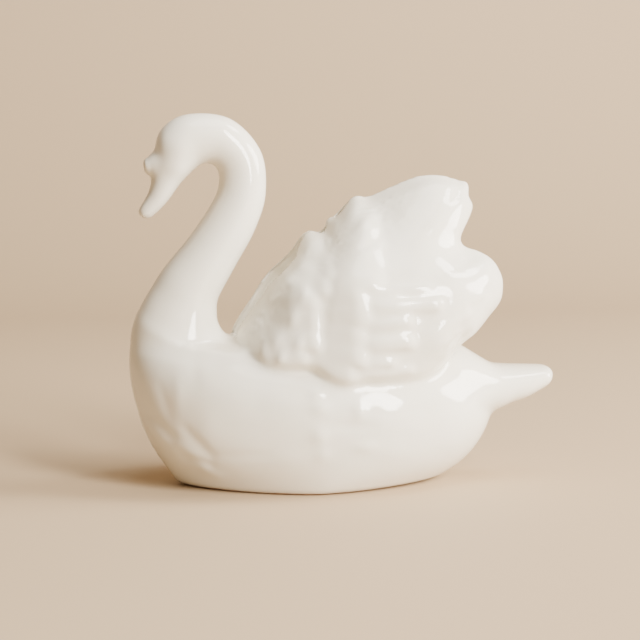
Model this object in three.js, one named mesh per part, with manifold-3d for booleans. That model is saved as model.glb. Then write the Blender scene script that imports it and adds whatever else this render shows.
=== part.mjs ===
// A white glazed swan figurine, one casting that stands on its own flat foot.
// Millimetres, +Z up. The swan faces -X and is the same on both sides of the plane y = 0.
// The origin is on the underside of the foot. Shapes are kept as shares of the three overall sizes.
import * as THREE from "three";
import Module from "manifold-3d";

const manifold = await Module();
manifold.setup();

// Overall sizes
const LENGTH = 121.8; // from the breast to the tip of the tail
const HEIGHT = 104.1; // from the foot to the crown
const BODY_WIDTH = 61; // widest part of the body, below the wings

// Wings
const WING_THICKNESS = 5; // shell of each wing between its feathers and its plain inside
const WING_EDGE = 4; // width of the rounding along the free edges
const WING_BULGE = 7; // how far the middle of a wing swells beyond a flat spread between its edges
const WING_RIM = 0.3; // share of the thickness that is left at the free edges
const WING_SPAN = 61; // rough length of a wing, used to tell how far a place is from its ends
const WING_RISE = 46; // rough height of a wing, used to tell how far a place is from its top

// Feathers carved on the outside of the wings
const COVERT_STEP = 1.3; // height of the scalloped ends of the two short rows
const COVERT_SCALLOP = 2.6; // how far each rounded end reaches past the joins beside it
const COVERT_PITCH = 7.4; // height that one short feather takes up
const COVERT_SLOPE = 1.6; // length of the slope down from each rounded end
const FLIGHT_STEP = 1.2; // height of the lower edge of each long feather

// Head
const KNOB_HEIGHT = 2.6; // how far the knob at the root of the bill stands out
const KNOB_RADIUS = 3.1; // how wide the knob spreads

// Smoothness of the faceted skins
const BODY_SIDES = 32;
const TAIL_SIDES = 20;
const WING_COLUMNS = 33;
const WING_ROWS = 17;

// Body, neck and head as one run of rings, from the foot to the tip of the bill.
// Each ring has a place on the breast and throat side, a place on the back and crown side,
// a half width, how far its sides sink below its middle, and its squareness: 2 is an ellipse,
// and less has more pointed ends. Places are shares of LENGTH and HEIGHT, half widths of
// BODY_WIDTH, and sinking is a share of HEIGHT.
const RINGS = [
  [-0.3, 0, 0.29, 0, 0.36, 0, 1.5],
  [-0.312, 0.012, 0.32, 0.012, 0.38, 0, 1.55],
  [-0.331, 0.045, 0.361, 0.045, 0.418, 0, 1.7],
  [-0.352, 0.08, 0.389, 0.08, 0.449, 0, 1.85],
  [-0.371, 0.118, 0.41, 0.118, 0.474, 0, 1.95],
  [-0.386, 0.158, 0.425, 0.158, 0.49, 0, 2],
  [-0.397, 0.198, 0.434, 0.198, 0.499, 0.005, 2],
  [-0.407, 0.24, 0.432, 0.238, 0.5, 0.013, 2],
  [-0.414, 0.283, 0.418, 0.28, 0.491, 0.022, 2],
  [-0.417, 0.327, 0.39, 0.32, 0.462, 0.031, 2],
  [-0.416, 0.363, 0.34, 0.358, 0.415, 0.037, 2],
  [-0.414, 0.384, 0.27, 0.385, 0.36, 0.038, 2],
  [-0.413, 0.402, 0.16, 0.4, 0.305, 0.035, 2],
  [-0.411, 0.419, 0.02, 0.404, 0.26, 0.031, 2],
  [-0.407, 0.438, -0.11, 0.398, 0.226, 0.03, 2],
  [-0.401, 0.459, -0.186, 0.406, 0.202, 0.035, 2],
  [-0.391, 0.482, -0.211, 0.437, 0.182, 0.035, 2],
  [-0.379, 0.508, -0.215, 0.472, 0.168, 0.03, 2],
  [-0.362, 0.54, -0.214, 0.494, 0.158, 0.025, 2],
  [-0.334, 0.59, -0.207, 0.517, 0.15, 0.015, 2],
  [-0.275, 0.674, -0.17, 0.594, 0.133, 0.006, 2],
  [-0.231, 0.748, -0.126, 0.687, 0.122, 0, 2],
  [-0.21, 0.801, -0.101, 0.784, 0.114, 0, 2],
  [-0.21, 0.847, -0.111, 0.897, 0.111, 0, 2],
  [-0.228, 0.866, -0.18, 0.984, 0.115, 0, 2],
  [-0.249, 0.863, -0.279, 0.997, 0.121, 0, 2],
  [-0.262, 0.852, -0.3385, 0.9575, 0.121, 0, 2],
  [-0.28, 0.832, -0.355, 0.892, 0.107, 0, 2],
  [-0.298, 0.81, -0.358, 0.844, 0.086, 0, 2],
  [-0.33, 0.76, -0.369, 0.789, 0.06, 0, 2],
  [-0.36, 0.728, -0.391, 0.743, 0.036, 0, 2],
  [-0.372, 0.7215, -0.387, 0.727, 0.018, 0, 2],
];
const KNOB_PLACE = [-0.357, 0.861]; // middle of the knob, shares of LENGTH and HEIGHT
const NECK_START = 17; // ring from which the rings are drawn closer together
const NECK_STEPS = 3; // rings drawn for each ring listed, from there on

// Tail, from inside the body to its tip: place, top and underside, and half width.
// Places are shares of LENGTH, heights of HEIGHT and half widths of BODY_WIDTH.
const TAIL_STATIONS = [
  [0.2, 0.386, 0.16, 0.24],
  [0.3, 0.39, 0.162, 0.262],
  [0.345, 0.372, 0.166, 0.25],
  [0.381, 0.3465, 0.172, 0.232],
  [0.431, 0.3165, 0.184, 0.202],
  [0.471, 0.31, 0.203, 0.175],
  [0.511, 0.3085, 0.2175, 0.148],
  [0.552, 0.3065, 0.243, 0.108],
  [0.571, 0.302, 0.257, 0.076],
  [0.58, 0.29, 0.269, 0.035],
];
const TAIL_SQUARENESS = 2.4; // 2 is an ellipse, and more is boxier

// Four edges of a wing in side view, as shares of LENGTH and HEIGHT.
const WING_LEADING = [
  [-0.18, 0.408],
  [-0.165, 0.441],
  [-0.141, 0.481],
  [-0.118, 0.519],
  [-0.103, 0.548],
  [-0.08, 0.577],
  [-0.056, 0.602],
  [-0.038, 0.628],
  [-0.028, 0.653],
];
const WING_TOP = [
  [-0.028, 0.653],
  [-0.014, 0.677],
  [0.005, 0.685],
  [0.028, 0.683],
  [0.043, 0.713],
  [0.063, 0.729],
  [0.096, 0.769],
  [0.117, 0.776],
  [0.138, 0.773],
  [0.184, 0.796],
  [0.249, 0.826],
  [0.294, 0.833],
  [0.327, 0.827],
  [0.353, 0.818],
  [0.37, 0.816],
];
const WING_TRAILING = [
  [0.33, 0.383],
  [0.359, 0.416],
  [0.394, 0.455],
  [0.429, 0.494],
  [0.436, 0.527],
  [0.435, 0.563],
  [0.416, 0.606],
  [0.385, 0.63],
  [0.353, 0.643],
  [0.343, 0.659],
  [0.349, 0.68],
  [0.368, 0.715],
  [0.381, 0.75],
  [0.372, 0.776],
  [0.377, 0.801],
  [0.37, 0.816],
];
const WING_LOWER = [
  [-0.18, 0.408],
  [-0.162, 0.385],
  [-0.126, 0.346],
  [-0.085, 0.336],
  [-0.025, 0.338],
  [0.01, 0.31],
  [0.05, 0.294],
  [0.1, 0.305],
  [0.15, 0.3],
  [0.21, 0.302],
  [0.26, 0.315],
  [0.3, 0.345],
  [0.33, 0.383],
];

// How far the outside of a wing stands from the middle plane along those edges, as shares of BODY_WIDTH.
const SPREAD_LEADING = [0.115, 0.125, 0.16, 0.14, 0.07];
const SPREAD_TOP = [0.07, 0.045, 0.038, 0.036, 0.036];
const SPREAD_TRAILING = [0.27, 0.24, 0.19, 0.12, 0.036];
const SPREAD_LOWER = [0.115, 0.345, 0.435, 0.455, 0.495, 0.468, 0.43, 0.35, 0.27];

// Lines where the two rows of short feathers end: lower end and upper end, shares of LENGTH and HEIGHT.
// Each feather falls by COVERT_FALL of its height toward its sides and thins to COVERT_THIN of it
// over COVERT_REACH of LENGTH toward the neck.
const COVERT_FALL = 0.35;
const COVERT_THIN = 0.35;
const COVERT_REACH = 0.12;
const COVERT_LINES = [
  [-0.022, 0.33, 0.034, 0.68],
  [0.1, 0.3, 0.152, 0.74],
];

// Long feathers: the height of each lower edge and how much of FLIGHT_STEP it stands out,
// up to the last, where the plain top of the wing ends.
const FLIGHT_EDGES = [
  [0.3, 0.9],
  [0.37, 0.9],
  [0.424, 0.8],
  [0.474, 1.2],
  [0.537, 0.6],
  [0.655, 0.35],
  [0.86, 0],
];
// The band along the trailing edge where the long feathers end, and how far they curl up toward it.
const BAND_LINE = [
  [0.212, 0.291],
  [0.28, 0.342],
  [0.302, 0.434],
  [0.336, 0.513],
  [0.37, 0.578],
  [0.5, 0.8],
];
const BAND_CURL = 0.045; // share of HEIGHT
const BAND_REACH = 0.08; // length over which they curl, share of LENGTH
const BAND_SLOPE = 0.02; // length of the slope down to the band, share of LENGTH
const BAND_LEVEL = 0.45; // height of the band, share of FLIGHT_STEP
const FLIGHT_START = 0.03; // length over which the long feathers rise, share of LENGTH
const FLIGHT_SHARPNESS = 5; // how steep each lower edge is

// A smooth line through the points, read at t from 0 to 1.
function spline(points) {
  const curve = new THREE.CatmullRomCurve3(
    points.map(([a, b, c = 0]) => new THREE.Vector3(a, b, c)),
    false,
    "catmullrom",
    0.5,
  );
  return (t) => curve.getPoint(t);
}

// A smooth line through evenly spaced heights, read at t from 0 to 1.
function profile(values) {
  const line = spline(values.map((value, i) => [i, value]));
  return (t) => line(t).y;
}

function clamp01(value) {
  return Math.min(1, Math.max(0, value));
}

function smooth(value) {
  const t = clamp01(value);
  return t * t * (3 - 2 * t);
}

// A closed skin over rings of equal length, with a middle point on each end.
function skin(rings) {
  const sides = rings[0].length;
  const positions = rings.flat().flatMap((p) => [p.x, p.y, p.z]);
  const middle = (ring) => ring.reduce((sum, p) => sum.add(p), new THREE.Vector3()).divideScalar(sides);
  const first = middle(rings[0]);
  const last = middle(rings[rings.length - 1]);
  const firstIndex = rings.length * sides;
  const lastIndex = firstIndex + 1;
  positions.push(first.x, first.y, first.z, last.x, last.y, last.z);
  const index = [];
  for (let r = 0; r + 1 < rings.length; r += 1) {
    for (let s = 0; s < sides; s += 1) {
      const a = r * sides + s;
      const b = r * sides + ((s + 1) % sides);
      index.push(a, b, b + sides, a, b + sides, a + sides);
    }
  }
  for (let s = 0; s < sides; s += 1) {
    const next = (s + 1) % sides;
    index.push(firstIndex, next, s);
    index.push(lastIndex, (rings.length - 1) * sides + s, (rings.length - 1) * sides + next);
  }
  const geometry = new THREE.BufferGeometry();
  geometry.setAttribute("position", new THREE.Float32BufferAttribute(positions, 3));
  geometry.setIndex(index);
  return geometry;
}

// Body, neck and head. The knob swells the forehead where the bill starts.
function bodyAndHead() {
  const throat = spline(RINGS.map(([x, z]) => [x * LENGTH, z * HEIGHT]));
  const crown = spline(RINGS.map(([, , x, z]) => [x * LENGTH, z * HEIGHT]));
  const half = profile(RINGS.map((ring) => ring[4] * BODY_WIDTH));
  const sink = profile(RINGS.map((ring) => ring[5] * HEIGHT));
  const squareness = profile(RINGS.map((ring) => ring[6]));
  const knob = new THREE.Vector3(KNOB_PLACE[0] * LENGTH, 0, KNOB_PLACE[1] * HEIGHT);
  const rings = [];
  const last = RINGS.length - 1;
  for (let at = 0; at < last + 1e-6; at += at < NECK_START ? 1 : 1 / NECK_STEPS) {
    const t = Math.min(1, at / last);
    const a = throat(t);
    const b = crown(t);
    const ring = [];
    for (let s = 0; s < BODY_SIDES; s += 1) {
      const angle = (2 * Math.PI * s) / BODY_SIDES;
      const [forward, sideways] = superellipse(angle, 1, 1, squareness(t));
      const along = (1 + forward) / 2;
      const point = new THREE.Vector3(
        a.x + (b.x - a.x) * along,
        half(t) * sideways,
        a.y + (b.y - a.y) * along - sink(t) * sideways * sideways,
      );
      const off = point.distanceTo(knob) / KNOB_RADIUS;
      point.x -= KNOB_HEIGHT * Math.exp(-off * off);
      ring.push(point);
    }
    rings.push(ring);
  }
  return skin(rings);
}

// Rounded outline of half lengths a and b, from 2 for an ellipse toward a box.
function superellipse(angle, a, b, squareness) {
  const c = Math.cos(angle);
  const s = Math.sin(angle);
  const power = 2 / squareness;
  return [a * Math.sign(c) * Math.abs(c) ** power, b * Math.sign(s) * Math.abs(s) ** power];
}

function tail() {
  const rings = TAIL_STATIONS.map(([x, top, bottom, half]) => {
    const ring = [];
    for (let s = 0; s < TAIL_SIDES; s += 1) {
      const angle = (2 * Math.PI * s) / TAIL_SIDES;
      const [dy, dz] = superellipse(angle, half * BODY_WIDTH, ((top - bottom) / 2) * HEIGHT, TAIL_SQUARENESS);
      ring.push(new THREE.Vector3(x * LENGTH, dy, ((top + bottom) / 2) * HEIGHT + dz));
    }
    return ring;
  });
  return skin(rings);
}

// A patch between four edge functions that meet at its corners.
function patch(u, v, lower, top, leading, trailing) {
  const along = lower(u) * (1 - v) + top(u) * v;
  const across = leading(v) * (1 - u) + trailing(v) * u;
  const low = lower(0) * (1 - u) + lower(1) * u;
  const high = top(0) * (1 - u) + top(1) * u;
  return along + across - (low * (1 - v) + high * v);
}

// Height of the rows of short feathers, with rounded ends that step down toward the tail.
function covertRelief(x, z) {
  let relief = 0;
  COVERT_LINES.forEach(([x0, z0, x1, z1], row) => {
    const rise = (z - z0 * HEIGHT) / ((z1 - z0) * HEIGHT);
    const feather = (z - z0 * HEIGHT) / COVERT_PITCH + row / 2;
    const offCentre = 2 * (feather - Math.floor(feather)) - 1;
    const end = (x0 + (x1 - x0) * rise) * LENGTH - COVERT_SCALLOP * offCentre * offCentre;
    const before = end - x;
    const crown = COVERT_STEP * (1 - COVERT_FALL * offCentre * offCentre);
    const thinning = COVERT_THIN + (1 - COVERT_THIN) * smooth(1 - before / (COVERT_REACH * LENGTH));
    relief += crown * smooth(before / COVERT_SLOPE + 0.5) * thinning;
  });
  return relief;
}

// Place along a line of points at a height, going straight between them.
function lineAt(points, z) {
  let i = 0;
  while (i + 2 < points.length && z > points[i + 1][1]) i += 1;
  const [x0, z0] = points[i];
  const [x1, z1] = points[i + 1];
  return x0 + ((x1 - x0) * (z - z0)) / (z1 - z0);
}

// Height of the long feathers, each lower edge standing over the feather below it.
function flightRelief(x, z) {
  const [x0, z0, x1, z1] = COVERT_LINES[1];
  const start = x0 + ((x1 - x0) * (z / HEIGHT - z0)) / (z1 - z0);
  const back = x / LENGTH - start;
  if (back <= 0) return 0;
  const band = lineAt(BAND_LINE, z / HEIGHT);
  const level = z / HEIGHT - BAND_CURL * smooth(1 + (x / LENGTH - band) / BAND_REACH);
  let relief = 0;
  for (let k = 0; k + 1 < FLIGHT_EDGES.length; k += 1) {
    const [low, depth] = FLIGHT_EDGES[k];
    const share = (level - low) / (FLIGHT_EDGES[k + 1][0] - low);
    relief += depth * smooth(share * FLIGHT_SHARPNESS + 0.5) * (1 - smooth(share));
  }
  const inBand = smooth((x / LENGTH - band) / BAND_SLOPE);
  const height = relief * (1 - inBand) + BAND_LEVEL * inBand;
  return FLIGHT_STEP * height * smooth(back / FLIGHT_START);
}

// Both faces of a wing on the side of -y for side = -1, or +y for side = 1.
function wing(side) {
  const leading = spline(WING_LEADING);
  const top = spline(WING_TOP);
  const trailing = spline(WING_TRAILING);
  const lower = spline(WING_LOWER);
  const spread = [SPREAD_LOWER, SPREAD_TOP, SPREAD_LEADING, SPREAD_TRAILING].map(profile);
  const faces = [[], []];
  for (let row = 0; row <= WING_ROWS; row += 1) {
    for (let column = 0; column <= WING_COLUMNS; column += 1) {
      const u = column / WING_COLUMNS;
      const v = row / WING_ROWS;
      const axis = (name) => [lower, top, leading, trailing].map((edge) => (t) => edge(t)[name]);
      const x = patch(u, v, ...axis("x")) * LENGTH;
      const z = patch(u, v, ...axis("y")) * HEIGHT;
      const bulge = WING_BULGE * 16 * u * (1 - u) * v * (1 - v);
      const outside = patch(u, v, ...spread) * BODY_WIDTH + bulge;
      const fromEdge = Math.min(u * WING_SPAN, (1 - u) * WING_SPAN, (1 - v) * WING_RISE);
      const edge = clamp01(fromEdge / WING_EDGE);
      const roundness = Math.sqrt(1 - (1 - edge) ** 2);
      const half = (WING_THICKNESS / 2) * (WING_RIM + (1 - WING_RIM) * roundness);
      const relief = (covertRelief(x, z) + flightRelief(x, z)) * smooth(fromEdge / WING_EDGE);
      const middle = outside - WING_THICKNESS / 2;
      faces[0].push(new THREE.Vector3(x, side * (middle + half + relief), z));
      faces[1].push(new THREE.Vector3(x, side * (middle - half), z));
    }
  }
  return shell(faces, side);
}

// Two grids of the same size joined around their border into one closed skin.
function shell([outer, inner], side) {
  const columns = WING_COLUMNS + 1;
  const rows = WING_ROWS + 1;
  const count = columns * rows;
  const positions = [...outer, ...inner].flatMap((p) => [p.x, p.y, p.z]);
  const index = [];
  const face = (a, b, c) => (side < 0 ? index.push(a, b, c) : index.push(a, c, b));
  for (let row = 0; row < WING_ROWS; row += 1) {
    for (let column = 0; column < WING_COLUMNS; column += 1) {
      const a = row * columns + column;
      const b = a + 1;
      const c = a + columns;
      const d = c + 1;
      face(a, b, d);
      face(a, d, c);
      face(count + a, count + d, count + b);
      face(count + a, count + c, count + d);
    }
  }
  const border = [];
  for (let column = 0; column < WING_COLUMNS; column += 1) border.push(column);
  for (let row = 0; row < WING_ROWS; row += 1) border.push(row * columns + WING_COLUMNS);
  for (let column = WING_COLUMNS; column > 0; column -= 1) border.push(WING_ROWS * columns + column);
  for (let row = WING_ROWS; row > 0; row -= 1) border.push(row * columns);
  border.forEach((a, i) => {
    const b = border[(i + 1) % border.length];
    face(a, count + b, b);
    face(a, count + a, count + b);
  });
  const geometry = new THREE.BufferGeometry();
  geometry.setAttribute("position", new THREE.Float32BufferAttribute(positions, 3));
  geometry.setIndex(index);
  return geometry;
}

function solidOf(geometry) {
  const points = new Map();
  const vertProperties = [];
  const position = geometry.getAttribute("position");
  const corners = geometry.index ? Array.from(geometry.index.array) : [...Array(position.count).keys()];
  const shared = corners.map((i) => {
    const key = [position.getX(i), position.getY(i), position.getZ(i)].map((n) => n.toFixed(4)).join();
    if (!points.has(key)) {
      points.set(key, points.size);
      vertProperties.push(position.getX(i), position.getY(i), position.getZ(i));
    }
    return points.get(key);
  });
  const triVerts = [];
  for (let i = 0; i < shared.length; i += 3) {
    const [a, b, c] = shared.slice(i, i + 3);
    if (a !== b && b !== c && a !== c) triVerts.push(a, b, c);
  }
  return new manifold.Manifold(
    new manifold.Mesh({
      numProp: 3,
      vertProperties: new Float32Array(vertProperties),
      triVerts: new Uint32Array(triVerts),
    }),
  );
}

function geometryOf(solid) {
  const mesh = solid.getMesh();
  const geometry = new THREE.BufferGeometry();
  geometry.setAttribute("position", new THREE.Float32BufferAttribute(mesh.vertProperties, 3));
  geometry.setIndex(Array.from(mesh.triVerts));
  geometry.computeVertexNormals();
  return geometry;
}

let casting = solidOf(bodyAndHead());
for (const piece of [tail(), wing(-1), wing(1)]) {
  casting = casting.add(solidOf(piece));
}

const glaze = new THREE.MeshStandardMaterial({ color: 0xf0ece2, roughness: 0.15, metalness: 0 });

const swan = new THREE.Mesh(geometryOf(casting), glaze);
swan.name = "swan";

const group = new THREE.Group();
group.name = "swan figurine";
group.add(swan);

export default group;
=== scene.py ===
import math

import bpy
import numpy as np
from mathutils import Matrix, Vector


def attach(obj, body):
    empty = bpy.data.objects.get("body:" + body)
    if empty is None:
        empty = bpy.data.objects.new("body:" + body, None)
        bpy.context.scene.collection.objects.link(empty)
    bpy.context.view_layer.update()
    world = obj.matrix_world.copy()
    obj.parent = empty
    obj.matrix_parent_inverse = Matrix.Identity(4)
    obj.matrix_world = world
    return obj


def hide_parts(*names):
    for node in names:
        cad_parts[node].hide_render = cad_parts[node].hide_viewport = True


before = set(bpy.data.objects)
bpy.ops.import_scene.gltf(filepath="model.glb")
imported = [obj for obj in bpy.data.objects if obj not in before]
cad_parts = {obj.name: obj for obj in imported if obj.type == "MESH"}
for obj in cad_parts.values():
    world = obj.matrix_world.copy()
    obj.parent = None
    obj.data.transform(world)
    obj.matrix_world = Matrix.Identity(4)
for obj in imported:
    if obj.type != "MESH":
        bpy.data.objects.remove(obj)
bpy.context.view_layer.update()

# Driving sizes. All shape work is in millimetres, in the frame of the CAD:
# the swan faces -X, +Z is up, and y = 0 is its middle plane.
LENGTH = 121.8
HEIGHT = 104.1
BODY_WIDTH = 61.0
SIDE_SCALE = np.array([LENGTH, HEIGHT])
MM_PER_M = 1000.0

# Body, neck and head, as in the CAD, with one more ring below the floor. Each ring has its throat side
# x and z and its crown side x and z (shares of LENGTH and HEIGHT), its half width (share of BODY_WIDTH),
# how far its sides sink (share of HEIGHT) and its squareness (2 is an ellipse).
RINGS = np.array([
    (-0.292, -0.02, 0.27, -0.02, 0.34, 0, 1.5),
    (-0.3, 0, 0.29, 0, 0.36, 0, 1.5),
    (-0.312, 0.012, 0.32, 0.012, 0.38, 0, 1.55),
    (-0.331, 0.045, 0.361, 0.045, 0.418, 0, 1.7),
    (-0.352, 0.08, 0.389, 0.08, 0.449, 0, 1.85),
    (-0.371, 0.118, 0.41, 0.118, 0.474, 0, 1.95),
    (-0.386, 0.158, 0.425, 0.158, 0.49, 0, 2),
    (-0.397, 0.198, 0.434, 0.198, 0.499, 0.005, 2),
    (-0.407, 0.24, 0.432, 0.238, 0.5, 0.013, 2),
    (-0.414, 0.283, 0.418, 0.28, 0.491, 0.022, 2),
    (-0.417, 0.327, 0.39, 0.32, 0.462, 0.031, 2),
    (-0.416, 0.363, 0.34, 0.358, 0.415, 0.037, 2),
    (-0.414, 0.384, 0.27, 0.385, 0.36, 0.038, 2),
    (-0.413, 0.402, 0.16, 0.4, 0.305, 0.035, 2),
    (-0.411, 0.419, 0.02, 0.404, 0.26, 0.031, 2),
    (-0.407, 0.438, -0.11, 0.398, 0.226, 0.03, 2),
    (-0.401, 0.459, -0.186, 0.406, 0.202, 0.035, 2),
    (-0.391, 0.482, -0.211, 0.437, 0.182, 0.035, 2),
    (-0.379, 0.508, -0.215, 0.472, 0.168, 0.03, 2),
    (-0.362, 0.54, -0.214, 0.494, 0.158, 0.025, 2),
    (-0.334, 0.59, -0.207, 0.517, 0.15, 0.015, 2),
    (-0.275, 0.674, -0.17, 0.594, 0.133, 0.006, 2),
    (-0.231, 0.748, -0.126, 0.687, 0.122, 0, 2),
    (-0.21, 0.801, -0.101, 0.784, 0.114, 0, 2),
    (-0.21, 0.847, -0.111, 0.897, 0.111, 0, 2),
    (-0.228, 0.866, -0.18, 0.984, 0.115, 0, 2),
    (-0.249, 0.863, -0.279, 0.997, 0.121, 0, 2),
    (-0.262, 0.852, -0.3385, 0.9575, 0.121, 0, 2),
    (-0.28, 0.832, -0.355, 0.892, 0.107, 0, 2),
    (-0.298, 0.81, -0.358, 0.844, 0.086, 0, 2),
    (-0.33, 0.76, -0.369, 0.789, 0.06, 0, 2),
    (-0.36, 0.728, -0.391, 0.743, 0.036, 0, 2),
    (-0.372, 0.7215, -0.387, 0.727, 0.018, 0, 2),
])
BILL_END = 31.55  # ring place where the rounded tip of the bill starts
BILL_CAP = 0.75  # how many ring places the rounded tip takes

# Tail, as in the CAD but for a fuller end that is rounded off below: place (share of LENGTH),
# top and underside (shares of HEIGHT), half width (share of BODY_WIDTH)
TAIL = np.array([
    (0.2, 0.386, 0.16, 0.24),
    (0.3, 0.39, 0.162, 0.262),
    (0.345, 0.372, 0.166, 0.25),
    (0.381, 0.3465, 0.172, 0.232),
    (0.431, 0.3165, 0.184, 0.202),
    (0.471, 0.31, 0.203, 0.175),
    (0.511, 0.3085, 0.2175, 0.152),
    (0.552, 0.307, 0.243, 0.122),
    (0.59, 0.304, 0.269, 0.085),
])
TAIL_TIP = 0.5815  # share of LENGTH where the tail ends
TAIL_ROUND = 0.022  # share of LENGTH that the rounding of its tip takes
TAIL_ROOT = 0.2  # share of LENGTH where it starts inside the body
TAIL_SQUARENESS = 2.4

# Wing, as in the CAD to within half a millimetre: its four edges in side view (shares of LENGTH and
# HEIGHT), and how far its outer face stands from the middle plane along each of them (shares of BODY_WIDTH)
WING_LEADING = [
    (-0.18, 0.408), (-0.165, 0.441), (-0.141, 0.481), (-0.118, 0.519), (-0.103, 0.548), (-0.08, 0.577),
    (-0.056, 0.602), (-0.038, 0.628), (-0.028, 0.653),
]
WING_TOP = [
    (-0.028, 0.653), (-0.014, 0.677), (0.005, 0.685), (0.028, 0.683), (0.043, 0.713), (0.063, 0.729),
    (0.096, 0.769), (0.117, 0.776), (0.138, 0.773), (0.184, 0.796), (0.249, 0.826), (0.294, 0.833),
    (0.327, 0.827), (0.353, 0.818), (0.37, 0.816),
]
WING_TRAILING = [
    (0.333, 0.383), (0.363, 0.415), (0.398, 0.454), (0.429, 0.494), (0.436, 0.527), (0.435, 0.563),
    (0.416, 0.606), (0.385, 0.63), (0.353, 0.643), (0.343, 0.659), (0.349, 0.68), (0.368, 0.715),
    (0.381, 0.75), (0.372, 0.776), (0.377, 0.801), (0.37, 0.816),
]
WING_LOWER = [
    (-0.18, 0.408), (-0.162, 0.385), (-0.126, 0.346), (-0.085, 0.336), (-0.025, 0.338), (0.01, 0.31),
    (0.05, 0.294), (0.1, 0.305), (0.15, 0.3), (0.21, 0.302), (0.26, 0.315), (0.3, 0.345),
    (0.333, 0.383),
]
SPREAD_LEADING = [0.115, 0.125, 0.16, 0.14, 0.07]
SPREAD_TOP = [0.07, 0.045, 0.038, 0.036, 0.036]
SPREAD_TRAILING = [0.27, 0.24, 0.19, 0.12, 0.036]
SPREAD_LOWER = [0.115, 0.345, 0.435, 0.455, 0.495, 0.468, 0.43, 0.35, 0.27]
WING_THICKNESS = 5.0
WING_EDGE = 3.2  # width of the band along its outline that rounds off
WING_BULGE = 7.0

# Feathers. Each has the side-view place of its root and of its tip, a width and a lift, in millimetres.
# The layers run from the end of the wing to its shoulder.
LONG = [
    ((19.1, 29.4), (33.6, 40.0), 4.4, 0.5),
    ((18.3, 32.7), (38.4, 45.6), 4.8, 0.55),
    ((18.2, 38.1), (41.5, 50.6), 5.2, 0.6),
    ((18.5, 44.6), (46.6, 56.4), 5.8, 0.7),
    ((17.3, 53.0), (49.6, 61.0), 8.6, 0.95),
    ((16.5, 60.0), (42.5, 68.2), 10.5, 0.85),
    ((17.0, 66.5), (43.5, 76.8), 9.0, 0.95),
    ((18.7, 73.5), (42.0, 84.0), 11.5, 1.05),
]
SHORT = [
    ((9.5, 33.4), (25.9, 34.9), 4.2, 0.9),
    ((10.1, 37.2), (20.9, 36.9), 3.8, 1.1),
    ((9.1, 42.0), (26.3, 42.7), 5.2, 1.45),
    ((11.6, 47.0), (25.3, 48.5), 4.4, 1.15),
    ((13.1, 52.2), (34.4, 52.6), 5.0, 1.4),
    ((12.9, 56.6), (31.5, 57.0), 4.0, 0.95),
]
SECOND = [
    ((0.1, 35.2), (10.6, 31.9), 7.0, 1.35),
    ((0.1, 40.6), (12.9, 38.9), 6.6, 1.55),
    ((0.6, 45.0), (12.4, 44.5), 6.4, 1.5),
    ((1.4, 49.3), (13.6, 50.7), 6.6, 1.6),
    ((1.7, 53.9), (12.9, 56.1), 6.2, 1.4),
    ((2.5, 57.8), (18.4, 61.1), 7.0, 1.6),
    ((3.4, 62.3), (19.0, 66.4), 6.6, 1.6),
    ((3.6, 66.0), (18.6, 74.5), 6.6, 1.6),
    ((3.3, 69.7), (14.0, 80.6), 6.4, 1.5),
]
LOBE = [((-2.6, 44.5), (5.6, 29.9), 10.9, 1.1)]
FIRST = [
    ((-12.0, 39.2), (-2.4, 36.9), 6.4, 1.6),
    ((-11.9, 43.4), (0.6, 43.5), 6.6, 1.7),
    ((-11.6, 48.5), (0.3, 48.5), 6.4, 1.6),
    ((-10.3, 52.6), (0.5, 54.0), 6.2, 1.7),
    ((-9.0, 56.2), (3.4, 58.6), 6.4, 1.6),
    ((-7.7, 60.3), (5.2, 63.6), 6.6, 1.7),
    ((-6.4, 64.0), (4.2, 69.9), 6.2, 1.6),
    ((-5.6, 67.1), (1.3, 72.8), 5.4, 1.4),
]
# Each layer has its feathers, the slope at their ends, a gain on their lift, and a crown across their tops.
LAYERS = [
    (LONG, 0.4, 1.0, 0.25),
    (SHORT, 0.5, 1.15, 0.6),
    (SECOND, 0.4, 1.25, 0.1),
    (LOBE, 0.4, 1.2, 0.1),
    (FIRST, 0.68, 1.3, 0.1),
]
FEATHER_BLEND = 0.3  # how softly one feather passes into the next
FEATHER_BAND = 2.2  # width along the wing's outline over which the carving fades out
ROOT_FADE = 2.5  # length over which a feather rises at its root
ROOT_LEVEL = 0.3  # height of its root against its tip
END_CURVE = 0.2  # how far the slope of an end is gentler at its top and steeper at its foot
SIDE_WIDTH = 1.1  # width of the slopes along both sides
SIDE_SLOPE = 0.7
CROWN_REACH = 1.2  # how far out, in half widths, the crown still falls
LEVEL_Z = 50.0  # height on the wing where an end faces along its own feather
LEAN_REACH = 45.0  # how far above or below that it leans by one in one
SUNK = 0.4  # how deep the ground between the feathers lies under the plain wing

# Soft scales on the shoulder of the wing: side-view place, size, height
SCALES = [
    (-16.4, 47.5, 1.6, 0.9), (-12.4, 43.1, 1.7, 1.0), (-11.5, 38.7, 1.3, 0.9), (-8.7, 59.9, 1.7, 0.9),
    (-11.6, 53.5, 1.6, 0.9), (-7.9, 49.1, 1.5, 0.8), (-4.6, 63.7, 1.5, 0.8), (-15.6, 40.9, 1.4, 0.7),
    (-19.3, 43.2, 1.3, 0.6), (-6.7, 42.1, 1.4, 0.7), (-4.7, 55.7, 1.4, 0.7), (-8.2, 66.6, 1.4, 0.6),
]
SCALE_RUN = (0.97, -0.25)  # direction across a scale
SCALE_WIDE = 0.8  # its reach across, in its sizes
SCALE_LONG = 1.5  # and along

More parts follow.
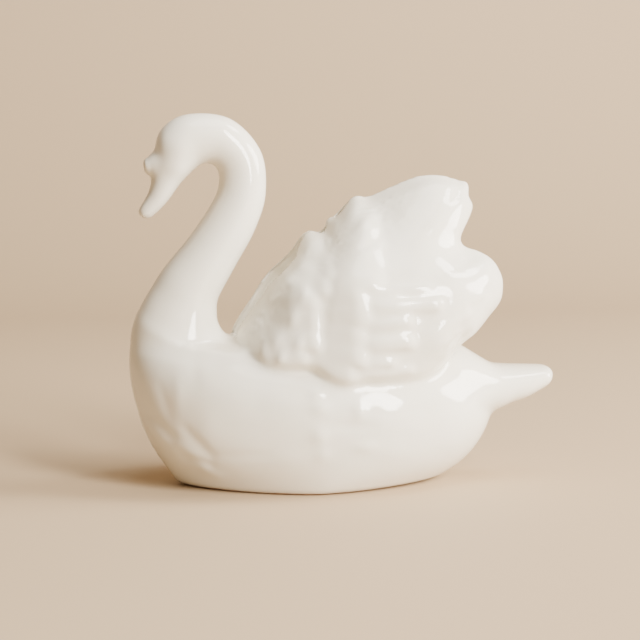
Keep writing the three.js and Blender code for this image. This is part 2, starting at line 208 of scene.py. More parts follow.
# Low relief of the body. Soft spots have a side-view place, a reach along x and z, and a height.
SOFT_SPOTS = [
    (-2.2, 29.1, 1.9, 1.6, 0.5), (-1.2, 25.4, 2.4, 1.6, 0.55), (-1.4, 17.8, 2.3, 2.3, 0.6),
    (-0.5, 12.5, 2.0, 2.2, 0.4), (9.4, 24.6, 1.7, 2.1, 0.5), (11.1, 14.4, 3.2, 1.5, 0.5),
    (-38.5, 29.5, 1.4, 4.6, 0.3), (-34.0, 34.0, 1.6, 5.0, -0.2), (-18.0, 27.0, 4.0, 3.0, -0.25),
    (6.0, 20.5, 4.5, 2.0, -0.25), (-31.0, 20.0, 3.0, 4.0, 0.25), (28.0, 22.0, 5.0, 4.0, -0.2),
    (20.0, 12.0, 5.0, 3.0, 0.2), (38.0, 14.0, 4.0, 4.0, 0.2), (-10.0, 11.0, 6.0, 2.5, 0.2),
    (-24.0, 36.5, 3.5, 2.0, 0.3), (34.0, 29.0, 4.0, 2.5, 0.2), (46.0, 20.0, 3.0, 3.0, -0.2),
]
# Worked creases and folds: side-view place of both ends, width, height
CREASES = [
    ((-47.0, 23.0), (-39.5, 16.0), 1.1, -0.4), ((-46.5, 18.5), (-38.0, 10.5), 1.3, 0.45),
    ((-36.5, 18.8), (-29.5, 11.5), 1.2, -0.5), ((-38.5, 14.5), (-31.0, 8.0), 1.4, 0.5),
    ((-37.5, 10.8), (-29.5, 8.6), 0.9, -0.45), ((-34.0, 8.0), (-27.0, 5.0), 1.3, 0.4),
    ((-29.5, 11.8), (-15.0, 12.6), 1.2, -0.25), ((-43.0, 30.0), (-40.5, 22.0), 1.3, -0.25),
    ((4.5, 20.4), (14.0, 20.0), 1.0, -0.2),
]
RELIEF_TOP = 44.0  # height where the relief of the body has faded out
RELIEF_FADE = 8.0

# Knob at the root of the bill
KNOB = (-43.5, 89.9)
KNOB_SIZE = (2.4, 3.0, 2.3)
KNOB_BLEND = 3.2

# Hollows and swellings of the face: place, reach, height
HEAD_SPOTS = [
    (-41.0, 4.6, 91.5, 2.4, -0.15), (-37.0, 7.0, 94.5, 3.2, 0.35), (-36.5, 6.5, 88.6, 2.6, 0.25),
    (-40.0, 3.5, 86.0, 2.2, -0.1), (-40.5, 4.5, 96.0, 2.4, 0.25),
]

# How softly the forms run into each other
TAIL_BLEND = 1.4
RUMP_BLEND = 3.0  # added to the tail's blend above its underside
RUMP_START = 19.0
RUMP_RISE = 8.0
WING_BLEND = 1.8
FOOT_EDGE = 1.4

# Unevenness of the casting: height, distance between its hills, and seed
WING_UNEVEN = (0.08, 2.4, 5)
BODY_UNEVEN = (0.10, 11.0, 3)
FINE_UNEVEN = (0.05, 5.0, 8)
UNEVEN_TOP = 60.0  # height where the unevenness of the body has faded out
UNEVEN_FADE = 20.0

# Grid of cells over the half space y >= 0, mirrored later
CELL = 0.74
X_RANGE = (-54.0, 75.0)
Z_RANGE = (-2.2, 108.0)
Y_REACH = 37.0
X = np.arange(*X_RANGE, CELL)
Z = np.arange(*Z_RANGE, CELL)
HALF_Y = np.arange(0, Y_REACH / CELL).astype(float) * CELL
ORIGIN = np.array([X[0], -HALF_Y[-1], Z[0]])
SIDE_X, SIDE_Z = np.meshgrid(X, Z, indexing="ij")
GRID_X = X[:, None, None]
GRID_Y = HALF_Y[None, :, None]
GRID_Z = Z[None, None, :]

# How finely the lines and tables below are sampled
GUESS_STEP = 0.9  # spacing of the coarse table of rings
GUESS_RINGS = (-0.9, BILL_END + 2.5, 1400)  # its ring places: first, last, how many
GUESS_SHARES = (-1.7, 1.7, 501)  # its shares across a ring
EDGE_POINTS = 160  # along each edge of the wing's outline
TAIL_POINTS = 400
PATCH_COLUMNS, PATCH_ROWS = 10, 8  # places where the wing's face is worked out from its edges


# Helpers
def spline(points, t):
    """Uniform Catmull-Rom line and its slope at t, in steps of one point, going straight past both ends."""
    p = np.asarray(points, float)
    t = np.asarray(t, float)
    last = len(p) - 1
    p = np.vstack([2 * p[0] - p[1], p, 2 * p[-1] - p[-2]])
    u = np.clip(t, 0, last)
    i = np.minimum(u.astype(int), last - 1)
    w = (u - i)[..., None]
    p0, p1, p2, p3 = p[i], p[i + 1], p[i + 2], p[i + 3]
    v0, v1 = (p2 - p0) / 2, (p3 - p1) / 2
    cubic = 2 * p1 - 2 * p2 + v0 + v1
    square = -3 * p1 + 3 * p2 - 2 * v0 - v1
    at = cubic * w**3 + square * w**2 + v0 * w + p1
    slope = 3 * cubic * w**2 + 2 * square * w + v0
    return at + slope * (t - u)[..., None], slope


def smooth(x):
    """Soft step from 0 to 1."""
    t = np.clip(x, 0, 1)
    return t * t * (3 - 2 * t)


def smin(a, b, k):
    """Lesser of two fields, with a rounding of size k where they meet."""
    h = np.maximum(k - np.abs(a - b), 0) / k
    return np.minimum(a, b) - h * h * k / 4


def smax(a, b, k):
    """Greater of two fields, with a rounding of size k."""
    return -smin(-a, -b, k)


def distance(f, least_slope=0.02):
    """Nearly true distance from any smooth field that is zero on the surface."""
    mirrored = np.concatenate([f[:, 1:2], f], axis=1)
    ax, ay, az = np.gradient(mirrored, CELL)
    size = np.sqrt(ax * ax + ay * ay + az * az)[:, 1:]
    return f / np.maximum(size, least_slope)


def uneven(shape, kind):
    """Smooth random field with the height, spacing and seed of kind."""
    height, spacing, seed = kind
    step = spacing / CELL
    rng = np.random.default_rng(seed)
    out = rng.uniform(-1, 1, [int(n / step) + 5 for n in shape])
    for axis, n in enumerate(shape):
        at = np.arange(n) / step + 1
        i = at.astype(int)
        w = at - i
        weights = [
            (1 - w) ** 3 / 6, (3 * w**3 - 6 * w**2 + 4) / 6,
            (-3 * w**3 + 3 * w**2 + 3 * w + 1) / 6, w**3 / 6,
        ]
        cut = [1] * 3
        cut[axis] = n
        out = sum(np.take(out, i - 1 + k, axis=axis) * weights[k].reshape(cut) for k in range(4))
    return height * (out * 1.8)  # brings the hills back to about -1 and 1


# Rings of the body, neck and head
def ring_columns():
    """Middle x and z, half reach x and z, half width, sink and squareness of each ring."""
    ring = RINGS * np.array([LENGTH, HEIGHT, LENGTH, HEIGHT, BODY_WIDTH, HEIGHT, 1.0])
    throat, crown = ring[:, 0:2], ring[:, 2:4]
    return np.column_stack([(throat + crown) / 2, (crown - throat) / 2, ring[:, 4:]])


RING_COLUMNS = ring_columns()


def ring_state(t):
    """Columns and their slopes at ring place t, going straight on past the bill."""
    inside = np.minimum(t, BILL_END)
    v, d = spline(RING_COLUMNS, inside)
    over = (t - inside)[..., None]
    v[..., :2] += d[..., :2] * over
    d[over[..., 0] > 0, 2:] = 0
    return v, d


def ring_place(v, a):
    """Side-view x and z of the skin at share a across a ring."""
    return v[..., 0] + a * v[..., 2], v[..., 1] + a * v[..., 3] - v[..., 5] * (1 - a * a)


def ring_reach(t, v, a):
    """Square of the half width of the body at share a across ring t, negative outside it."""
    left = 1 - np.abs(a) ** v[..., 6] - np.maximum(t - BILL_END, 0) ** 2 / BILL_CAP**2
    return v[..., 4] ** 2 * np.sign(left) * np.abs(left) ** (2 / v[..., 6])


def first_guess(x, z):
    """Rough ring place and share of each side-view place, from a coarse table; the widest ring wins."""
    step = GUESS_STEP
    ts = np.linspace(*GUESS_RINGS)[:, None]
    shares = np.linspace(*GUESS_SHARES)[None, :]
    v, _ = ring_state(ts)
    sx, sz = ring_place(v, shares)
    reach = ring_reach(ts, v, shares)
    nx = int((X[-1] - X[0]) / step) + 3
    nz = int((Z[-1] - Z[0]) / step) + 3
    ix = np.round((sx - X[0]) / step).astype(int)
    iz = np.round((sz - Z[0]) / step).astype(int)
    ok = (ix >= 0) & (ix < nx) & (iz >= 0) & (iz < nz)
    order = np.argsort(reach[ok], kind="stable")
    flat = (ix * nz + iz)[ok][order]
    table = np.full((2, nx * nz), np.nan)
    table[0, flat] = np.broadcast_to(ts, sx.shape)[ok][order]
    table[1, flat] = np.broadcast_to(shares, sx.shape)[ok][order]
    jx = np.clip(np.round((x - X[0]) / step).astype(int), 0, nx - 1)
    jz = np.clip(np.round((z - Z[0]) / step).astype(int), 0, nz - 1)
    t, a = table[:, jx * nz + jz]
    known = np.isfinite(t)
    return known, np.where(known, t, 0.0), np.where(known, a, 0.0)


def body_reach(x, z, tries=8, most_t=0.4, most_a=0.3, least_det=1e-3, miss=0.3, nowhere=-400.0):
    """Square of the body's half width over the side view, by Newton steps from the first guess.

    A step is at most most_t ring places and most_a shares, and a place that is still missed by more
    than miss millimetres lies outside every ring.
    """
    known, t, a = first_guess(x, z)
    for _ in range(tries):
        v, d = ring_state(t)
        px, pz = ring_place(v, a)
        fx, fz = px - x, pz - z
        x_t = d[..., 0] + a * d[..., 2]
        z_t = d[..., 1] + a * d[..., 3] - d[..., 5] * (1 - a * a)
        x_a = v[..., 2]
        z_a = v[..., 3] + 2 * a * v[..., 5]
        det = x_t * z_a - x_a * z_t
        det = np.where(np.abs(det) < least_det, np.where(det < 0, -least_det, least_det), det)
        t = t - np.clip((fx * z_a - x_a * fz) / det, -most_t, most_t)
        a = a - np.clip((x_t * fz - fx * z_t) / det, -most_a, most_a)
    v, _ = ring_state(t)
    px, pz = ring_place(v, a)
    known &= np.hypot(px - x, pz - z) < miss
    return np.where(known, ring_reach(t, v, a), nowhere)


# Body
def body_relief(x, z):
    """Height of the soft spots and creases over the plain body."""
    out = np.zeros_like(x)
    for sx, sz, wx, wz, height in SOFT_SPOTS:
        out = out + height * np.exp(-((x - sx) / wx) ** 2 - ((z - sz) / wz) ** 2)
    for (ax, az), (bx, bz), width, height in CREASES:
        dx, dz = bx - ax, bz - az
        s = np.clip(((x - ax) * dx + (z - az) * dz) / (dx * dx + dz * dz), 0, 1)
        d2 = (x - ax - s * dx) ** 2 + (z - az - s * dz) ** 2
        ends = 0.35 + 0.65 * np.sin(np.pi * (0.15 + 0.7 * s))  # shallower towards both ends
        out = out + height * np.exp(-d2 / width**2) * ends
    return out


def body_field():
    """Body, neck and head, with the knob and the face."""
    reach = body_reach(SIDE_X, SIDE_Z)[:, None, :]
    body = distance(GRID_Y**2 - reach)
    body -= body_relief(SIDE_X, SIDE_Z)[:, None, :] * smooth((RELIEF_TOP - GRID_Z) / RELIEF_FADE)
    kx = (GRID_X - KNOB[0]) / KNOB_SIZE[0]
    ky = GRID_Y / KNOB_SIZE[1]
    kz = (GRID_Z - KNOB[1]) / KNOB_SIZE[2]
    knob = np.sqrt(kx**2 + ky**2 + kz**2) - 1
    body = smin(body, knob * KNOB_SIZE[0], KNOB_BLEND)
    for sx, sy, sz, size, height in HEAD_SPOTS:
        r2 = (GRID_X - sx) ** 2 + (GRID_Y - sy) ** 2 + (GRID_Z - sz) ** 2
        body -= height * np.exp(-r2 / size**2)
    return body


# Tail
def tail_field():
    """Flat tail with a rounded tip, ending inside the body."""
    t = np.linspace(0, len(TAIL) - 1, TAIL_POINTS)
    line = spline(TAIL * np.array([LENGTH, HEIGHT, HEIGHT, BODY_WIDTH]), t)[0]
    top, under, half = (np.interp(X, line[:, 0], line[:, i])[:, None, None] for i in (1, 2, 3))
    middle = (top + under) / 2
    high = (top - under) / 2
    tip = np.maximum(0, (GRID_X - (TAIL_TIP - TAIL_ROUND) * LENGTH) / (TAIL_ROUND * LENGTH))
    power = TAIL_SQUARENESS
    section = ((GRID_Y / half) ** power + (np.abs(GRID_Z - middle) / high) ** power) ** (1 / power)
    tail = distance(np.sqrt(section**2 + tip**2) - 1)
    return np.maximum(tail, TAIL_ROOT * LENGTH - GRID_X)


# Wing
def wing_outline():
    """Closed side-view outline of the wing."""
    edges = []
    for points in (WING_LOWER, WING_TRAILING, WING_TOP, WING_LEADING):
        p = np.asarray(points, float) * SIDE_SCALE
        edges.append(spline(p, np.linspace(0, len(p) - 1, EDGE_POINTS))[0])
    lower, trailing, top, leading = edges
    return np.vstack([lower[:-1], trailing[:-1], top[::-1][:-1], leading[::-1][:-1]])


def outline_distance(x, z, outline):
    """Distance inside a closed side-view outline, negative outside it."""
    px, pz = x.ravel(), z.ravel()
    best = np.full(px.shape, 1e9)
    inside = np.zeros(px.shape, bool)
    for (ax, az), (bx, bz) in zip(outline, np.roll(outline, -1, axis=0)):
        dx, dz = bx - ax, bz - az
        s = np.clip(((px - ax) * dx + (pz - az) * dz) / (dx * dx + dz * dz + 1e-12), 0, 1)
        best = np.minimum(best, (px - ax - s * dx) ** 2 + (pz - az - s * dz) ** 2)
        if az != bz:
            inside ^= ((az > pz) != (bz > pz)) & (px < dx * (pz - az) / dz + ax)
    d = np.sqrt(best)
    return np.where(inside, d, -d).reshape(x.shape)


def edge_function(points, column, scale):
    """One column of an edge as a function of the share along it."""
    p = np.asarray(points, float)
    p = p[:, None] if p.ndim == 1 else p
    return lambda t: spline(p, t * (len(p) - 1))[0][..., column] * scale


def coons(u, v, lists, column, scale):
    """Patch between the lower, top, leading and trailing edges."""
    lower, top, leading, trailing = (edge_function(p, column, scale) for p in lists)
    start, end = np.zeros_like(u), np.ones_like(u)
    corners = (
        (lower(start) * (1 - u) + lower(end) * u) * (1 - v)
        + (top(start) * (1 - u) + top(end) * u) * v)
    return lower(u) * (1 - v) + top(u) * v + leading(v) * (1 - u) + trailing(v) * u - corners


def thin_plate(px, pz, values, x, z, slack=4.0):
    """Smooth sheet near scattered values."""
    def kernel(r2):
        return np.where(r2 > 0, 0.5 * r2 * np.log(np.maximum(r2, 1e-12)), 0)

    n = len(px)
    r2 = (px[:, None] - px[None]) ** 2 + (pz[:, None] - pz[None]) ** 2
    q = np.column_stack([np.ones(n), px, pz])
    m = np.zeros((n + 3, n + 3))
    m[:n, :n] = kernel(r2) + slack * np.eye(n)
    m[:n, n:] = q
    m[n:, :n] = q.T
    w = np.linalg.solve(m, np.concatenate([values, np.zeros(3)]))
    out = w[n] + w[n + 1] * x + w[n + 2] * z
    for i in range(n):
        out = out + w[i] * kernel((x - px[i]) ** 2 + (z - pz[i]) ** 2)
    return out


def wing_face():
    """Outer face of the plain wing over the side view, as its distance from the middle plane."""
    patch = np.meshgrid(np.linspace(0, 1, PATCH_COLUMNS), np.linspace(0, 1, PATCH_ROWS))
    u, v = (g.ravel() for g in patch)
    edges = [WING_LOWER, WING_TOP, WING_LEADING, WING_TRAILING]
    spreads = [SPREAD_LOWER, SPREAD_TOP, SPREAD_LEADING, SPREAD_TRAILING]
    x = coons(u, v, edges, 0, LENGTH)
    z = coons(u, v, edges, 1, HEIGHT)
    bulge = 16 * u * (1 - u) * v * (1 - v)  # 1 in the middle of the wing, 0 along its edges
    face = coons(u, v, spreads, 0, BODY_WIDTH) + WING_BULGE * bulge
    return thin_plate(x, z, face, SIDE_X, SIDE_Z)


def feather(x, z, root, tip, width, lift, slope, crown):
    """Height of one feather: a top that rises to a bevelled end, with a slope along both sides."""
    (rx, rz), (tx, tz) = root, tip
    length = math.hypot(tx - rx, tz - rz)
    dx, dz = (tx - rx) / length, (tz - rz) / length
    run = (x - rx) * dx + (z - rz) * dz
    side = np.abs((x - rx) * -dz + (z - rz) * dx)
    lean = dz + (LEVEL_Z - tz) / LEAN_REACH  # low ends face up a little and high ends down
    ahead = ((x - tx) * dx + (z - tz) * lean) / math.hypot(dx, lean)
    past = np.maximum(ahead + lift / slope, 0)
    down = (slope - END_CURVE) * past + END_CURVE * past**2 * slope / lift
    aside = SIDE_SLOPE * np.maximum(side - width / 2 + SIDE_WIDTH, 0)
    level = lift * (ROOT_LEVEL + (1 - ROOT_LEVEL) * np.clip(run / length, 0, 1))
    round_top = crown * np.minimum(side / (width / 2), CROWN_REACH) ** 2
    return (level - round_top - np.hypot(down, aside)) * smooth(run / ROOT_FADE + 0.5)


def feather_relief(x, z):
    """Height of the carved feathers and scales over the plain wing."""
    out = np.zeros_like(x)
    for layer, slope, gain, crown in LAYERS:
        for root, tip, width, lift in layer:
            out = smax(out, feather(x, z, root, tip, width, lift * gain, slope, crown), FEATHER_BLEND)
    for sx, sz, size, height in SCALES:
        across = ((x - sx) * SCALE_RUN[0] + (z - sz) * SCALE_RUN[1]) / (SCALE_WIDE * size)
        along = ((x - sx) * -SCALE_RUN[1] + (z - sz) * SCALE_RUN[0]) / (SCALE_LONG * size)
        out = out + height * np.exp(-along**2 - across**2)
    return out


def wing_field():
    """One wing, a leaning sheet with feathers on its outer face."""
    inward = outline_distance(SIDE_X, SIDE_Z, wing_outline())
    feathers = feather_relief(SIDE_X, SIDE_Z) * smooth(inward / FEATHER_BAND) - SUNK
    half = WING_THICKNESS / 2
    off = GRID_Y - np.abs((wing_face() - half)[:, None, :])
    ragged = uneven((len(X), 1, len(Z)), WING_UNEVEN)
    thick = np.where(off > 0, half + feathers[:, None, :] + ragged, half)
    rim = (np.maximum(0, WING_EDGE - inward) / WING_EDGE)[:, None, :]
    return distance(np.sqrt((off / thick) ** 2 + rim**2) - 1)


# The whole swan as a field that is negative inside
def swan_field():
    """Body, tail and wing in one, flat under the foot, over the half space y >= 0."""
    tail_blend = TAIL_BLEND + RUMP_BLEND * smooth((GRID_Z - RUMP_START) / RUMP_RISE)
    solid = smin(body_field(), tail_field(), tail_blend)
    solid = smin(solid, wing_field(), WING_BLEND)
    low = smooth((UNEVEN_TOP - GRID_Z) / UNEVEN_FADE)
    solid += uneven(solid.shape, BODY_UNEVEN) * low + uneven(solid.shape, FINE_UNEVEN)
    return smax(solid, -GRID_Z, FOOT_EDGE)


def glazed_over(half):
    """Mirrors the half field and rounds off its edges a little, as the glaze does."""
    full = np.concatenate([half[:, :0:-1], half], axis=1)
    for axis in range(3):
        first, last = np.take(full, [0], axis=axis), np.take(full, [-1], axis=axis)
        padded = np.concatenate([first, full, last], axis=axis)
        n = full.shape[axis]
        before, at, after = (np.take(padded, range(k, k + n), axis=axis) for k in (0, 1, 2))
        full = (before + 2 * at + after) / 4
    return full


# Skin over the field: one point in each crossed cell, moved on to the surface
def sample(field, points):
    """Field at any points, linear between the cells."""
    q = np.clip((points - ORIGIN) / CELL, 0, np.array(field.shape) - 1.001)
    i = q.astype(int)
    w = q - i
    out = 0
    for a, b, c in np.ndindex(2, 2, 2):
        weight = (
            (w[:, 0] if a else 1 - w[:, 0])
            * (w[:, 1] if b else 1 - w[:, 1])
            * (w[:, 2] if c else 1 - w[:, 2]))
        out = out + weight * field[i[:, 0] + a, i[:, 1] + b, i[:, 2] + c]
    return out


def crossings(field, axis):
    """Where the surface crosses the grid lines of one axis: place, the four cells round it, direction."""
    near, far = [slice(None)] * 3, [slice(None)] * 3
    near[axis] = slice(0, -1)
    far[axis] = slice(1, None)
    fa, fb = field[tuple(near)], field[tuple(far)]
    lines = np.nonzero((fa < 0) != (fb < 0))
    va, vb = fa[lines], fb[lines]
    at = np.stack(lines, 1).astype(np.float32)
    at[:, axis] += va / (va - vb)
    first, second = [d for d in range(3) if d != axis]
    corners = []
    for s1, s2 in ((-1, -1), (0, -1), (0, 0), (-1, 0)):
        cell = np.stack(lines, 1)
        cell[:, first] += s1
        cell[:, second] += s2
        corners.append(cell)
    cells = np.array(field.shape) - 1
    keep = np.all([(c >= 0).all(1) & (c < cells).all(1) for c in corners], axis=0)
    outward = (va < vb) if axis != 1 else (va >= vb)
    return at[keep], [c[keep] for c in corners], outward[keep]


def skin_of(field):
    """Points and quads of the surface where the field is zero."""
    cells = np.array(field.shape) - 1
    total = np.zeros((*cells, 3), np.float32)
    count = np.zeros(cells, np.float32)
    quads = []
    for axis in range(3):
        at, corners, outward = crossings(field, axis)
        for c in corners:
            np.add.at(total, (c[:, 0], c[:, 1], c[:, 2]), at)
            np.add.at(count, (c[:, 0], c[:, 1], c[:, 2]), 1)
        quad = np.stack([np.ravel_multi_index(c.T, cells) for c in corners], 1)
        quad[~outward] = quad[~outward][:, ::-1]
        quads.append(quad)
    used, quads = np.unique(np.concatenate(quads), return_inverse=True)
    points = (total.reshape(-1, 3)[used] / count.reshape(-1)[used, None]).astype(float)
    return ORIGIN + points * CELL, quads.reshape(-1, 4)


def settle(field, slopes, points, most=0.5, least_slope=0.3):
    """Moves points on to the surface, by about half a millimetre at most."""
    d = sample(field, points)
    g = np.stack([sample(s, points) for s in slopes], 1)
    g2 = np.maximum((g * g).sum(1), least_slope**2)
    return points - np.clip(d / g2, -most, most)[:, None] * g


def relaxed(field, points, quads, rounds=4, pull=0.6, flat=0.12):
    """Evens out the skin on its surface, and lays the foot flat on the floor."""
    slopes = np.gradient(field, CELL)
    sides = np.concatenate([quads[:, [0, 1]], quads[:, [1, 2]], quads[:, [2, 3]], quads[:, [3, 0]]])
    sides = np.concatenate([sides, sides[:, ::-1]])
    start, end = sides.T
    degree = np.bincount(start, minlength=len(points))[:, None]
    for _ in range(rounds):
        total = np.stack([np.bincount(start, points[end, c], len(points)) for c in range(3)], 1)
        points = settle(field, slopes, points + pull * (total / degree - points))
    points[points[:, 2] < flat, 2] = 0
    return points


def glazed_swan():
    """The swan as one Blender piece, in metres."""
    field = glazed_over(swan_field())
    points, quads = skin_of(field)
    points = relaxed(field, points, quads)
    mesh = bpy.data.meshes.new("glazed_swan")
    mesh.vertices.add(len(points))
    mesh.vertices.foreach_set("co", (points / MM_PER_M).astype(np.float32).ravel())
    mesh.loops.add(len(quads) * 4)
    mesh.loops.foreach_set("vertex_index", quads.astype(np.int32).ravel())
    mesh.polygons.add(len(quads))
    mesh.polygons.foreach_set("loop_start", np.arange(0, len(quads) * 4, 4, dtype=np.int32))
    mesh.update(calc_edges=True)
    mesh.validate()
    mesh.shade_smooth()
    print("swan skin:", len(points), "points,", len(quads) * 2, "triangles")
    piece = bpy.data.objects.new("glazed_swan", mesh)
    bpy.context.scene.collection.objects.link(piece)
    return piece


# Materials
def new_material(name):
    """Material with its node tree and its shader."""
    mat = bpy.data.materials.new(name)
    mat.use_nodes = True
    return mat, mat.node_tree, mat.node_tree.nodes["Principled BSDF"]


def noise(tree, coords, scale, detail, rough=0.5):
    """Noise value over the piece's own coordinates, in metres."""
    n = tree.nodes.new("ShaderNodeTexNoise")
    n.inputs["Scale"].default_value = scale
    n.inputs["Detail"].default_value = detail
    n.inputs["Roughness"].default_value = rough
    tree.links.new(coords.outputs["Object"], n.inputs["Vector"])
    return n.outputs["Fac"]


def ramp(tree, source, stops):
    """Colour ramp with a stop for each place and colour."""
    r = tree.nodes.new("ShaderNodeValToRGB")
    while len(r.color_ramp.elements) < len(stops):
        r.color_ramp.elements.new(0.5)
    for element, (place, colour) in zip(r.color_ramp.elements, stops):
        element.position = place
        element.color = (*colour, 1)
    tree.links.new(source, r.inputs["Fac"])
    return r.outputs["Color"]


def grey_ramp(tree, source, stops):
    """Colour ramp of grey values."""
    return ramp(tree, source, [(place, (v, v, v)) for place, v in stops])


def mix(tree, factor, a, b):
    """Mix of two colours, each a socket or a plain colour."""
    m = tree.nodes.new("ShaderNodeMix")
    m.data_type = "RGBA"
    tree.links.new(factor, m.inputs["Factor"])
    for value, socket in ((a, m.inputs[6]), (b, m.inputs[7])):
        if isinstance(value, tuple):
            socket.default_value = (*value, 1)
        else:
            tree.links.new(value, socket)
    return m.outputs[2]


def bump(tree, height, strength, depth, under=None):
    """Bump of a depth in metres, on top of another one if there is one under it."""
    b = tree.nodes.new("ShaderNodeBump")
    b.inputs["Strength"].default_value = strength
    b.inputs["Distance"].default_value = depth
    tree.links.new(height, b.inputs["Height"])
    if under is not None:
        tree.links.new(under.outputs["Normal"], b.inputs["Normal"])
    return b


def bare_foot(tree, coords, wander=0.0009, start=0.00002, end=0.00022):
    """1 on the thin wandering line of bare clay round the foot, 0 on the glaze above it, in metres."""
    split = tree.nodes.new("ShaderNodeSeparateXYZ")
    tree.links.new(coords.outputs["Object"], split.inputs[0])
    height = tree.nodes.new("ShaderNodeMath")
    height.operation = "MULTIPLY_ADD"
    tree.links.new(noise(tree, coords, 220, 3), height.inputs[0])
    height.inputs[1].default_value = -wander
    tree.links.new(split.outputs["Z"], height.inputs[2])
    bare = tree.nodes.new("ShaderNodeMapRange")
    bare.interpolation_type = "SMOOTHSTEP"
    tree.links.new(height.outputs[0], bare.inputs["Value"])
    bare.inputs["From Min"].default_value = start
    bare.inputs["From Max"].default_value = end
    bare.inputs["To Min"].default_value = 1
    bare.inputs["To Max"].default_value = 0
    return bare.outputs["Result"]


def white_glaze():
    """Glossy warm white glaze with a few pinholes and soft ripples, over pale clay."""
    mat, tree, shader = new_material("white_glaze")
    shader.inputs["IOR"].default_value = 1.52
    shader.inputs["Metallic"].default_value = 0.0
    coords = tree.nodes.new("ShaderNodeTexCoord")
    bare = bare_foot(tree, coords)

    tint = ramp(tree, noise(tree, coords, 38, 4), [
        (0.3, (0.82, 0.775, 0.66)), (0.52, (0.845, 0.805, 0.695)), (0.75, (0.86, 0.825, 0.725))])
    speck = grey_ramp(tree, noise(tree, coords, 900, 2, 0.6), [(0.79, 0.0), (0.82, 1.0)])
    glaze = mix(tree, speck, tint, (0.40, 0.33, 0.25))
    clay = ramp(tree, noise(tree, coords, 2600, 4, 0.65), [
        (0.3, (0.50, 0.34, 0.24)), (0.7, (0.66, 0.48, 0.37))])
    tree.links.new(mix(tree, bare, glaze, clay), shader.inputs["Base Color"])

    gloss = grey_ramp(tree, noise(tree, coords, 120, 3), [(0.3, 0.07), (0.7, 0.13)])
    tree.links.new(mix(tree, bare, gloss, (0.8, 0.8, 0.8)), shader.inputs["Roughness"])

    waves = bump(tree, noise(tree, coords, 260, 2, 0.4), 0.25, 0.00012)
    pits = bump(tree, speck, 0.5, 0.00006, waves)
    pits.invert = True
    tree.links.new(pits.outputs["Normal"], shader.inputs["Normal"])
    return mat


def floor_paper():
    """Plain pale paper."""
    mat, _, shader = new_material("floor_paper")
    shader.inputs["Base Color"].default_value = (0.46, 0.34, 0.21, 1)
    shader.inputs["Roughness"].default_value = 0.7
    return mat


# Studio: pale sweep, soft lights, camera at the photograph's angle, all in metres
FLOOR_FRONT = -1.6
FLOOR_BACK = 0.45
FLOOR_HALF_WIDTH = 1.8
BEND_RADIUS = 0.35
BACKDROP_TOP = 1.6
CENTRE = (0.01, 0.0, 0.05)
# Soft lights: name, place, width and height, power, colour
LIGHTS = [
    ("key_window", (0.66, -0.93, 0.55), (0.34, 1.0), 47.0, (1.0, 0.955, 0.895)),
    ("right_side", (1.0, -0.16, 0.42), (0.5, 0.6), 25.5, (1.0, 0.95, 0.885)),
    ("high_right", (0.6, -0.02, 0.9), (0.3, 0.3), 6.0, (1.0, 0.96, 0.90)),
    ("overhead", (0.15, -0.1, 0.98), (0.8, 0.5), 4.0, (1.0, 0.97, 0.93)),
]
AIR_COLOUR = (0.75, 0.62, 0.47, 1)
AIR_STRENGTH = 0.34

# Camera, found from the photograph, in millimetres
LENS = 100.0
SENSOR = 36.0
PICTURE_PX = 640.0
SWAN_PX = 309.0  # picture column of the origin
CAMERA_TURN = math.radians(-8.0)  # from square on, towards the head
CAMERA_AWAY = 500.0
CAMERA_HIGH = 100.0
CAMERA_DOWN = math.radians(6.17)


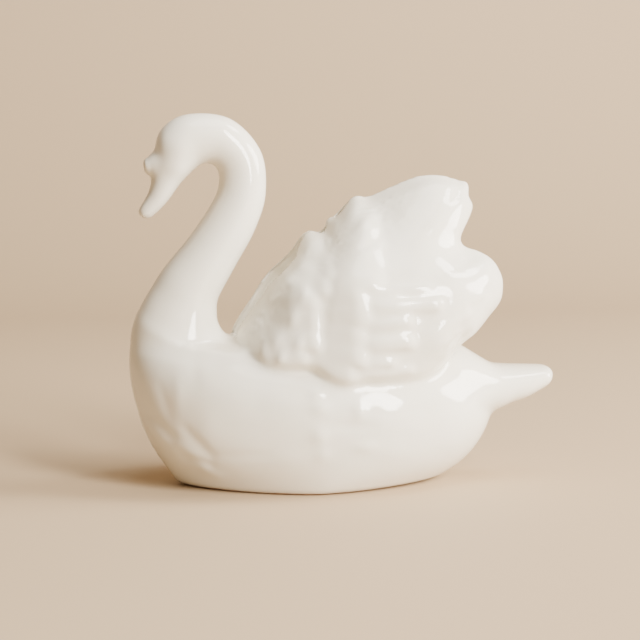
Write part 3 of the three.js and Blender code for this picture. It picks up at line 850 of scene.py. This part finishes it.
def sweep():
    """Floor that bends up into a backdrop."""
    bend = np.linspace(0.1, math.pi / 2, 14)
    profile = [(FLOOR_FRONT, 0.0), (FLOOR_BACK, 0.0)]
    for a in bend:
        profile.append((FLOOR_BACK + BEND_RADIUS * math.sin(a), BEND_RADIUS - BEND_RADIUS * math.cos(a)))
    profile.append((FLOOR_BACK + BEND_RADIUS, BACKDROP_TOP))
    verts = [(x, y, z) for y, z in profile for x in (-FLOOR_HALF_WIDTH, FLOOR_HALF_WIDTH)]
    faces = [(2 * i, 2 * i + 1, 2 * i + 3, 2 * i + 2) for i in range(len(profile) - 1)]
    mesh = bpy.data.meshes.new("floor")
    mesh.from_pydata(verts, [], faces)
    mesh.shade_smooth()
    mesh.materials.append(floor_paper())
    floor = bpy.data.objects.new("floor", mesh)
    bpy.context.scene.collection.objects.link(floor)
    return floor


def soft_light(name, at, size, power, colour):
    """Oval area light that faces the swan."""
    light = bpy.data.lights.new(name, "AREA")
    light.shape = "ELLIPSE"
    light.size, light.size_y = size
    light.energy = power
    light.color = colour
    lamp = bpy.data.objects.new(name, light)
    lamp.location = at
    lamp.rotation_euler = (Vector(CENTRE) - Vector(at)).to_track_quat("-Z", "Y").to_euler()
    bpy.context.scene.collection.objects.link(lamp)


def studio_air():
    """Dim warm light from all round."""
    world = bpy.data.worlds.new("studio_air")
    world.use_nodes = True
    background = world.node_tree.nodes["Background"]
    background.inputs["Color"].default_value = AIR_COLOUR
    background.inputs["Strength"].default_value = AIR_STRENGTH
    bpy.context.scene.world = world


def photo_camera():
    """Camera at the photograph's place and angle."""
    away = (math.sin(CAMERA_TURN) * CAMERA_AWAY, -math.cos(CAMERA_TURN) * CAMERA_AWAY)
    where = Vector((*away, CAMERA_HIGH))
    lens_px = LENS / SENSOR * PICTURE_PX
    heading = math.atan2(-where.y, -where.x) + math.atan((SWAN_PX - PICTURE_PX / 2) / lens_px)
    level = math.cos(CAMERA_DOWN)
    forward = Vector((math.cos(heading) * level, math.sin(heading) * level, -math.sin(CAMERA_DOWN)))
    right = Vector((math.sin(heading), -math.cos(heading), 0.0))
    up = right.cross(forward)
    data = bpy.data.cameras.new("camera")
    data.lens = LENS
    data.sensor_width = SENSOR
    data.clip_start = 0.01
    data.clip_end = 20.0
    camera = bpy.data.objects.new("camera", data)
    turn = Matrix((right, up, -forward)).transposed().to_4x4()
    camera.matrix_world = Matrix.Translation(where / MM_PER_M) @ turn
    bpy.context.scene.collection.objects.link(camera)
    bpy.context.scene.camera = camera


# The scene
swan = glazed_swan()
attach(swan, "root")
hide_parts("swan")
swan.data.materials.append(white_glaze())

sweep()
for light in LIGHTS:
    soft_light(*light)
studio_air()
photo_camera()
